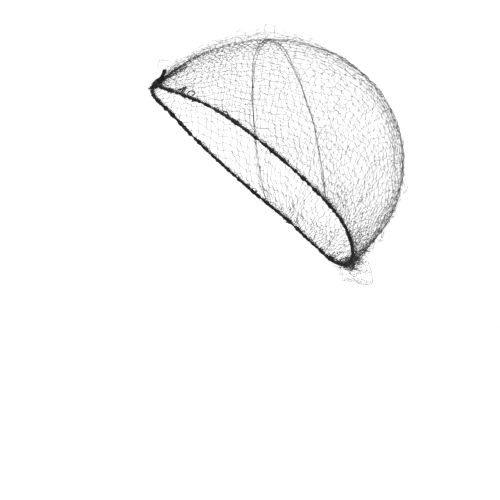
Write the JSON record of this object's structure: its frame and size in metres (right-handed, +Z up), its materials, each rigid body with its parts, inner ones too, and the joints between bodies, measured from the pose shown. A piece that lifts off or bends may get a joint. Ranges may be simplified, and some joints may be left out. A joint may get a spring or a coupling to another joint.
{
  "type": "hairnet",
  "caption": "Knotted nylon hairnet in its worn shape: an open mesh cap in two panels with a seam over the crown, gathered on a thin elastic that is tied at the forehead.",
  "frame": {"origin": "centre of the head opening, halfway between the elastic at the forehead and the elastic at the nape", "axes": "+Z up, +Y towards the back of the head, +X towards the wearer's left; the opening slopes down from the forehead to the nape"},
  "size_m": [0.156, 0.1899, 0.1703],
  "materials": {
    "net_thread": "fine matt nylon thread",
    "elastic": "thread-covered elastic, matt"
  },
  "bodies": {
    "root": {"net_front_panel": "net_thread", "net_back_panel": "net_thread", "crown_seam_thread": "net_thread", "elastic_band": "elastic", "forehead_knot": "elastic", "knot_tail_long": "elastic", "knot_tail_short": "elastic"}
  },
  "joints": []
}
